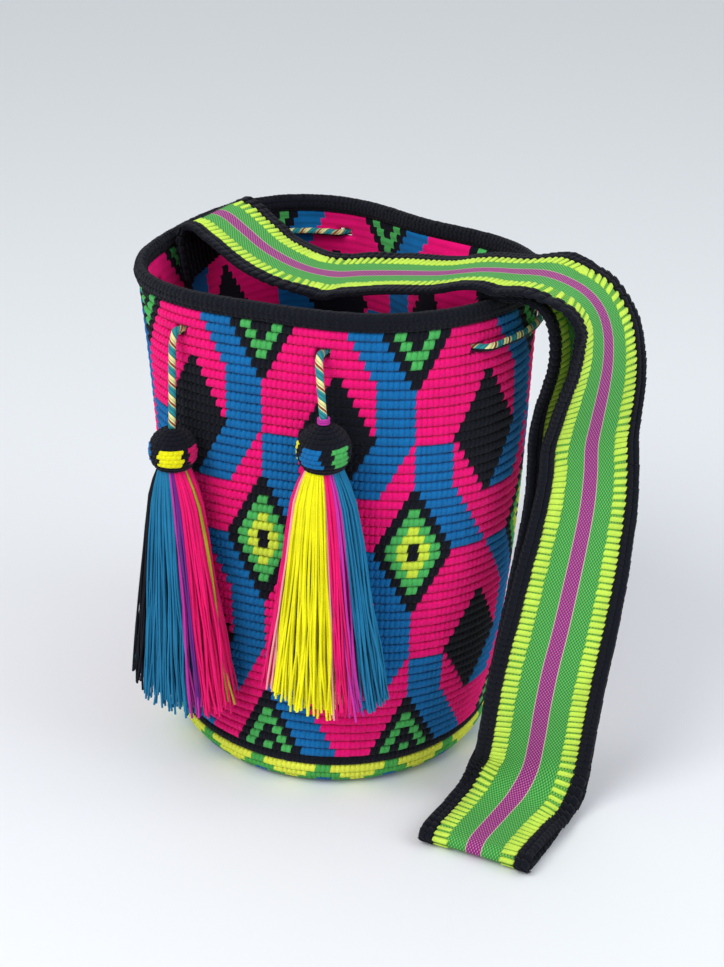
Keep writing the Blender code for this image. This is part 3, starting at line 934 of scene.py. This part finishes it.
def makeSkirt(side):
    # loose yarn ends: most of them in the outer layer, each with its own bend and length
    facts = tassels[side]
    _, middle, _, normal = tasselPlaces(side)
    along = Vector((-normal.y, normal.x, 0))
    chance = random.Random(skirt["seeds"][side])
    neck = facts["ballRadius"] * skirt["neckShare"]
    top = middle.z - facts["ballRadius"] * skirt["topShare"]
    last = skirt["points"] - 1
    verts, edges, colours = [], [], []
    for number in range(skirt["strands"]):
        turn = 2 * math.pi * ((number * 0.618034) % 1.0)  # the golden share keeps them evenly apart
        share = 0.84 + 0.16 * chance.random() if number % 3 else 0.2 + 0.6 * chance.random()
        lateral = share * math.cos(turn)
        wide = facts["spread"][0] * lateral
        deep = facts["spread"][1] * share * math.sin(turn)
        dye = next(key for limit, key in facts["dyes"] if lateral + chance.uniform(-0.03, 0.03) < limit)
        end = facts["skirtEnd"] + chance.uniform(*skirt["ragged"]) + skirt["edgeRise"] * lateral ** 2
        bends = []
        for _ in range(2):
            bends.append((chance.uniform(0.8, 2.6), chance.uniform(0, 6.28), chance.uniform(3.0, 11.0)))
        shade = chance.uniform(0.82, 1.10)
        colour = [c * shade for c in hexColour(yarns[dye])[:3]] + [1.0]
        begin = len(verts)
        for k in range(skirt["points"]):
            t = k / last
            growth = np.interp(t, *skirt["growth"])
            sway = [0.001 * amount * t * math.sin(phase + pace * t) for amount, phase, pace in bends]
            x = neck * lateral * (1 - growth) + wide * growth + sway[0]
            y = neck * share * math.sin(turn) * (1 - growth) + deep * growth + sway[1]
            place = middle + along * x + normal * y
            verts.append((place.x, place.y, top + (end - top) * t))
            colours.append(colour)
            if k:
                edges.append((begin + k - 1, begin + k))
    name = "tassel_" + side + "_strands"
    mesh = bpy.data.meshes.new(name + "_lines")
    mesh.from_pydata(verts, edges, [])
    layer = mesh.attributes.new("yarnColour", "FLOAT_COLOR", "POINT")
    layer.data.foreach_set("color", np.array(colours, np.float32).ravel())
    source = bpy.data.objects.new(name + "_lines", mesh)
    bpy.context.scene.collection.objects.link(source)
    piece = growPiece(name, source, strandTree, Radius=skirt["radius"], Sides=skirt["sides"], Yarn=mixedYarn)
    return finishPiece(piece, "tassel_" + side, facts["skirtSlot"], "tassel_" + side + "_skirt")


def makeBinding():
    # three turns of magenta yarn wound round the cord above the ball
    top = tasselPlaces("right")[2]
    sides, around = binding["sides"], binding["around"]
    verts, faces, uvs = [], [], []
    for number in range(binding["turns"]):
        base = len(verts)
        height = top.z + binding["lift"] + number * binding["pitch"]
        for i in range(around):
            azimuth = 2 * math.pi * i / around
            for k in range(sides):
                angle = 2 * math.pi * k / sides
                far = binding["radius"] + binding["yarn"] * math.cos(angle)
                verts.append((top.x + far * math.cos(azimuth), top.y + far * math.sin(azimuth),
                              height + binding["yarn"] * math.sin(angle)))
                uvs += [(i / around, k / sides)] * 4
        faces += [tuple(base + v for v in face) for face in loftFaces(around, sides, True)]
    piece = makeMesh("tassel_right_binding", verts, faces, uvs)
    faceOutwards(piece)
    piece.data.materials.append(yarnLooks["magenta"])
    return finishPiece(piece, "tassel_right", "magenta_yarn", "tassel_right_ring")


def makeHangingEnd(side):
    # out of the eyelet and down to the ball; it bends where it leaves the wall
    facts = tassels[side]
    pivot, _, top, normal = tasselPlaces(side)
    inner = wallPoint(facts["eyelet"], rowHeight(wall["eyeletRow"] - 0.5), -0.0022)[0]
    end = top + Vector((0, 0, facts["ring"] * 0.3 - 0.0004))
    fall = pivot.z - end.z
    lean = Vector((end.x - pivot.x, end.y - pivot.y, 0))
    stations = [tuple(inner), tuple(pivot + Vector((0, 0, 0.0004)))]
    for share, out in ((0.06, 0.0020), (0.14, 0.0026), (0.30, 0.0024), (0.55, 0.0015), (0.8, 0.0006)):
        stations.append(tuple(pivot + lean * share + normal * out - Vector((0, 0, fall * share))))
    stations.append(tuple(end))
    path = smoothRoute(stations, 0.0020)
    tube = makeTube("drawstring_" + side + "_braid", path)
    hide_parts("drawstring_end_" + side)
    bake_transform(tube)


def makeTassels():
    for side in tassels:
        pieces = makeBall(side)
        makeSkirt(side)
        if tassels[side]["ring"]:
            pieces.append(makeBinding())
        makeHangingEnd(side)


makeTassels()
print("tassels hung")

strap = {
    "band": 0.0580,
    "edging": 0.0088,
    "gap": 0.0008,
    "frontTab": 0.0340,
    "rearBorder": 0.0360,
    "thickness": 0.0024,
    "step": 0.0028,
    "ribPitch": 0.0043,
    "ribLength": 0.0109,
    "ribLine": 0.0056,  # middle of the ribs, in from the band's edge
    "edgingPitch": 0.0042,
    "edgingLines": (0.0020, 0.0066),  # out from the band's edge
    "joiningPitch": 0.0046,
    "stripes": ((0.0, "#5AA83A"), (0.188, "#3CA145"), (0.404, "#D9C4B4"), (0.412, "#9E2A86"),
                (0.588, "#D9C4B4"), (0.596, "#3CA145"), (0.812, "#5AA83A")),
    # pale colour painted as a highlight on the raised points of the weave
    "paintedHighlight": "#DCE3A8",
    "weave": (0.0021, 0.0026),  # across and along; the real threads are finer and wouldn't show
}

# middle of the band and the direction across it, from the rear edging down to the ground and back up
strapRoute = (
    ((-0.0808, 0.0588, 0.3160), (0.47, 0.88, 0.00)),
    ((-0.0828, 0.0572, 0.3300), (0.47, 0.88, 0.00)),
    ((-0.0835, 0.0562, 0.3410), (0.47, 0.88, 0.00)),
    ((-0.0800, 0.0543, 0.3490), (0.47, 0.88, 0.00)),
    ((-0.0712, 0.0484, 0.3490), (0.47, 0.88, 0.00)),
    ((-0.0590, 0.0375, 0.3425), (0.44, 0.90, 0.00)),
    ((-0.0415, 0.0205, 0.3335), (0.28, 0.96, 0.02)),
    ((-0.0190, 0.0030, 0.3275), (0.11, 0.99, 0.04)),
    ((0.0030, -0.0045, 0.3248), (0.03, 1.00, 0.03)),
    ((0.0245, -0.0150, 0.3290), (0.01, 1.00, -0.05)),
    ((0.0470, -0.0320, 0.3350), (0.03, 1.00, -0.09)),
    ((0.0720, -0.0510, 0.3415), (0.05, 1.00, -0.11)),
    ((0.0970, -0.0660, 0.3490), (0.09, 0.99, -0.10)),
    ((0.1180, -0.0790, 0.3525), (0.17, 0.98, -0.06)),
    ((0.1345, -0.0930, 0.3560), (0.32, 0.94, 0.01)),
    ((0.1475, -0.1030, 0.3545), (0.44, 0.90, 0.00)),
    ((0.1590, -0.1065, 0.3480), (0.51, 0.85, -0.08)),
    ((0.1675, -0.1080, 0.3370), (0.56, 0.81, -0.15)),
    ((0.1718, -0.1095, 0.3230), (0.62, 0.76, -0.18)),
    ((0.1728, -0.1095, 0.3065), (0.67, 0.71, -0.21)),
    ((0.1718, -0.1080, 0.2888), (0.74, 0.64, -0.22)),
    ((0.1690, -0.1050, 0.2640), (0.80, 0.55, -0.23)),
    ((0.1668, -0.1050, 0.2470), (0.84, 0.48, -0.23)),
    ((0.1668, -0.1080, 0.2285), (0.88, 0.43, -0.20)),
    ((0.1653, -0.1135, 0.2090), (0.91, 0.37, -0.18)),
    ((0.1614, -0.1210, 0.1869), (0.94, 0.31, -0.16)),
    ((0.1558, -0.1300, 0.1600), (0.97, 0.21, -0.12)),
    ((0.1497, -0.1380, 0.1310), (0.99, 0.14, -0.08)),
    ((0.1440, -0.1435, 0.1050), (1.00, 0.05, -0.05)),
    ((0.1400, -0.1460, 0.0787), (1.00, 0.00, -0.05)),
    ((0.1372, -0.1460, 0.0520), (1.00, -0.02, -0.06)),
    ((0.1335, -0.1475, 0.0300), (0.99, -0.08, -0.05)),
    ((0.1245, -0.1560, 0.0150), (0.97, -0.22, -0.02)),
    ((0.1120, -0.1730, 0.0105), (0.94, -0.34, 0.00)),
    ((0.0990, -0.1935, 0.0098), (0.89, -0.45, 0.00)),
    ((0.0950, -0.2015, 0.0092), (0.89, -0.45, 0.00)),
    ((0.0936, -0.2043, 0.0058), (0.89, -0.45, 0.00)),
    ((0.0950, -0.2015, 0.0027), (0.89, -0.45, 0.00)),
    ((0.0990, -0.1935, 0.0022), (0.89, -0.45, 0.00)),
    ((0.1125, -0.1710, 0.0030), (0.92, -0.38, 0.00)),
    ((0.1260, -0.1480, 0.0066), (0.96, -0.25, 0.08)),
    ((0.1350, -0.1360, 0.0155), (0.99, -0.08, 0.15)),
    ((0.1385, -0.1320, 0.0310), (1.00, -0.02, 0.00)),
    ((0.1405, -0.1320, 0.0540), (1.00, 0.00, -0.05)),
    ((0.1425, -0.1325, 0.0800), (1.00, 0.03, -0.05)),
    ((0.1460, -0.1300, 0.1060), (0.99, 0.10, -0.07)),
    ((0.1500, -0.1240, 0.1320), (0.98, 0.18, -0.10)),
    ((0.1545, -0.1160, 0.1620), (0.95, 0.27, -0.14)),
    ((0.1580, -0.1070, 0.1880), (0.91, 0.37, -0.17)),
    ((0.1600, -0.0990, 0.2110), (0.88, 0.43, -0.19)),
    ((0.1595, -0.0940, 0.2320), (0.85, 0.48, -0.21)),
    ((0.1585, -0.0915, 0.2500), (0.81, 0.54, -0.22)),
    ((0.1590, -0.0925, 0.2690), (0.76, 0.61, -0.22)),
    ((0.1608, -0.0955, 0.2890), (0.71, 0.67, -0.21)),
    ((0.1610, -0.0975, 0.3060), (0.66, 0.72, -0.20)),
    ((0.1590, -0.0975, 0.3210), (0.62, 0.76, -0.17)),
    ((0.1545, -0.0950, 0.3340), (0.57, 0.81, -0.12)),
    ((0.1475, -0.0905, 0.3430), (0.51, 0.86, -0.06)),
    ((0.1390, -0.0850, 0.3465), (0.46, 0.89, -0.02)),
    ((0.1290, -0.0775, 0.3465), (0.44, 0.90, 0.00)),
    ((0.1190, -0.0695, 0.3462), (0.43, 0.90, 0.00)),
    ((0.1132, -0.0652, 0.3410), (0.43, 0.90, 0.00)),
    ((0.1116, -0.0646, 0.3300), (0.43, 0.90, 0.00)),
    ((0.1114, -0.0655, 0.3165), (0.43, 0.90, 0.00)),
)


def strapFrames():
    route = smoothRoute([place + across for place, across in strapRoute], 0.0010)
    middle = route[:, :3]
    along = np.gradient(middle, axis=0)
    along /= np.linalg.norm(along, axis=1)[:, None]
    across = route[:, 3:] - along * np.sum(route[:, 3:] * along, axis=1)[:, None]
    across /= np.linalg.norm(across, axis=1)[:, None]
    run = np.concatenate([[0], np.cumsum(np.linalg.norm(np.diff(middle, axis=0), axis=1))])
    return middle, across, np.cross(along, across), along, run


strapLines = strapFrames()


def strapAt(at):
    # middle, across, face and along at lengths along the strap
    run = strapLines[4]
    found = []
    for values in strapLines[:4]:
        found.append(np.stack([np.interp(at, run, values[:, k]) for k in range(3)], axis=-1))
    for values in found[1:]:
        values /= np.linalg.norm(values, axis=1)[:, None]
    return found


def makeStrip(name, low, high, start, stop, material, columns, swell=1.0):
    # a flat closed strip between two lines along the strap, its long edges rounded
    at = np.linspace(start, stop, int(round((stop - start) / strap["step"])) + 1)
    middle, across, face, _ = strapAt(at)
    half = strap["thickness"] / 2 * swell
    shares = [0.5 - 0.48 * math.cos(math.pi * k / (columns - 1)) for k in range(columns)]
    upper = [(share, half * (1 - abs(2 * share - 1) ** 8) ** 0.5) for share in shares]
    lower = [(share, -lift) for share, lift in reversed(upper)]
    profile = [(0.0, 0.0)] + upper + [(1.0, 0.0)] + lower
    verts, uvs = [], []
    for k in range(len(at)):
        for share, lift in profile:
            verts.append(tuple(middle[k] + across[k] * (low + (high - low) * share) + face[k] * lift))
    count = len(profile)
    for begin, end in zip(at[:-1], at[1:]):
        for i in range(count):
            near, far = profile[i][0], profile[(i + 1) % count][0]
            uvs += [(near, begin), (far, begin), (far, end), (near, end)]
    last = (len(at) - 1) * count
    faces = loftFaces(len(at), count)
    faces += [tuple(reversed(range(count))), tuple(last + i for i in range(count))]
    uvs += [(0.1, at[0])] * count + [(0.1, at[-1])] * count
    strip = makeMesh(name, verts, faces, uvs)
    faceOutwards(strip)
    strip.data.materials.append(material)
    return strip


def wovenMaterial():
    # woven wool and cotton: green and magenta stripes with the small dots of the weave, given as painted
    # highlight on the raised points and painted shade in the dips
    material, tree, shader = fabricShader("woven_wool")
    split = addNode(tree, "ShaderNodeSeparateXYZ", {0: addNode(tree, "ShaderNodeTexCoord").outputs["UV"]})
    striped = stripeRamp(tree, split.outputs[0], strap["stripes"])
    waves = []
    for socket, pace in ((split.outputs[0], strap["band"] / strap["weave"][0]),
                         (split.outputs[1], 1 / strap["weave"][1])):
        angle = addNode(tree, "ShaderNodeMath", {0: socket, 1: 2 * math.pi * pace}, operation="MULTIPLY")
        waves.append(addNode(tree, "ShaderNodeMath", {0: angle.outputs[0]}, operation="SINE").outputs[0])
    weave = addNode(tree, "ShaderNodeMath", {0: waves[0], 1: waves[1]}, operation="MULTIPLY").outputs[0]
    # painted highlight: the raised points of the weave are mixed towards a pale colour
    weavePaintedHighlight = mapRange(tree, weave, 0.35, 0.75, 0.0, 0.34)
    # painted shade: the dips of the weave are darkened
    weavePaintedShade = mapRange(tree, weave, -0.75, -0.35, 0.42, 1.0)
    mixed = addNode(tree, "ShaderNodeMix", {
        0: weavePaintedHighlight, 6: striped, 7: hexColour(strap["paintedHighlight"])}, data_type="RGBA")
    shaded = addNode(tree, "ShaderNodeVectorMath", {0: mixed.outputs[2], "Scale": weavePaintedShade}, operation="SCALE")
    dressShader(tree, shader, shaded.outputs[0], weave, 0.7, 0.0004)
    return material


def plantOnStrap(name, shape, yarn, slot, lines, lengths, size, seed):
    # one shape at every length on every line across the strap, on both faces; ribs lie across it
    middle, across, face, along = strapAt(lengths)
    places, right, up = [], [], []
    for line in lines:
        for sign in (-1, 1):
            places.append(middle + across * line - face * sign * strap["thickness"] / 2 * 0.92)
            right.append(across if shape is barShape else -along * sign)
            up.append(along * sign if shape is barShape else across)
    sizes = np.tile(size, (len(lengths) * len(places), 1))
    frames = [np.concatenate(values) for values in (places, right, up)]
    return finishPiece(plant(name, shape, yarn, *frames, sizes, 0.07, seed), "root", slot)


def makeStrap():
    length = strapLines[4][-1]
    band = strap["band"] / 2
    edge = band + strap["gap"] + strap["edging"]
    start = strap["rearBorder"]
    stop = length - strap["frontTab"] - 0.0003
    black = yarnLooks["black"]
    weave = makeStrip("strap_weave", -band, band, start - 0.002, stop + 0.002, wovenMaterial(), 13)
    finishPiece(weave, "root", "woven_band", "strap_band")
    ribLines = (strap["ribLine"] - band, band - strap["ribLine"])
    ribSize = (strap["ribLength"], strap["ribPitch"] * 0.94, 0.0009)
    plantOnStrap("strap_ribs", barShape, yarnLooks["lime"], "woven_band", ribLines,
                 np.arange(start + 0.003, stop - 0.002, strap["ribPitch"]), ribSize, 61)
    for side, sign in (("inner", -1), ("outer", 1)):
        low, high = sorted((sign * edge, sign * (band - 0.0006)))
        strip = makeStrip("strap_" + side + "_core", low, high, start, stop, black, 5, 0.9)
        finishPiece(strip, "root", "black_yarn", "strap_edging_" + side)
        lines = [sign * (band + line) for line in strap["edgingLines"]]
        plantOnStrap("strap_" + side + "_stitches", stitchShape, black, "black_yarn", lines,
                     np.arange(start + 0.002, stop, strap["edgingPitch"]),
                     (strap["edgingPitch"], 0.0050, 0.0016), 63)
    pitch = strap["joiningPitch"]
    columns = np.linspace(0.0022 - edge, edge - 0.0022, 17)
    for side, low, high in (("rear", 0.0, start - 0.0005), ("front", stop + 0.0005, length)):
        strip = makeStrip("strap_" + side + "_joining", -edge, edge, low, high, black, 9)
        finishPiece(strip, "root", "black_yarn", "strap_tab_" + side)
        plantOnStrap("strap_" + side + "_joining_stitches", stitchShape, black, "black_yarn", columns,
                     np.arange(low + 0.0025, high - 0.001, pitch), (pitch, pitch, 0.0017), 67)


makeStrap()
print("strap woven")

studio = {
    "floor": "#E3E5E7",
    "sky": "#F1F5F9",
    "skyStrength": 0.80,
    "key": {"place": (-1.1, -1.2, 1.9), "size": 1.4, "power": 31.0, "colour": "#FFFFFF"},
    "fill": {"place": (1.6, -0.7, 1.1), "size": 1.6, "power": 14.0, "colour": "#F2F6FF"},
    "aim": (0, 0, 0.15),
}


def addLamp(name):
    facts = studio[name]
    data = bpy.data.lights.new(name, "AREA")
    data.shape = "DISK"
    data.size = facts["size"]
    data.energy = facts["power"]
    data.color = hexColour(facts["colour"])[:3]
    thing = bpy.data.objects.new(name, data)
    thing.location = facts["place"]
    aim = Vector(studio["aim"]) - Vector(facts["place"])
    thing.rotation_euler = aim.to_track_quat("-Z", "Y").to_euler()
    bpy.context.scene.collection.objects.link(thing)


def makeStudio():
    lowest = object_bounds()[0].z
    floor = makeMesh("floor", [(x, y, lowest - 0.0002) for x, y in ((-6, -6), (6, -6), (6, 6), (-6, 6))],
                     [(0, 1, 2, 3)])
    # matt paper: pale and without shine, so that the bag's shadow stays soft
    material = bpy.data.materials.new("matt_paper_floor")
    material.use_nodes = True
    shader = material.node_tree.nodes["Principled BSDF"]
    shader.inputs["Base Color"].default_value = hexColour(studio["floor"])
    shader.inputs["Roughness"].default_value = 0.95
    floor.data.materials.append(material)
    world = bpy.data.worlds.new("studio")
    world.use_nodes = True
    background = world.node_tree.nodes["Background"]
    background.inputs["Color"].default_value = hexColour(studio["sky"])
    background.inputs["Strength"].default_value = studio["skyStrength"]
    bpy.context.scene.world = world
    addLamp("key")
    addLamp("fill")
    bpy.context.scene.view_settings.view_transform = "Standard"


makeStudio()
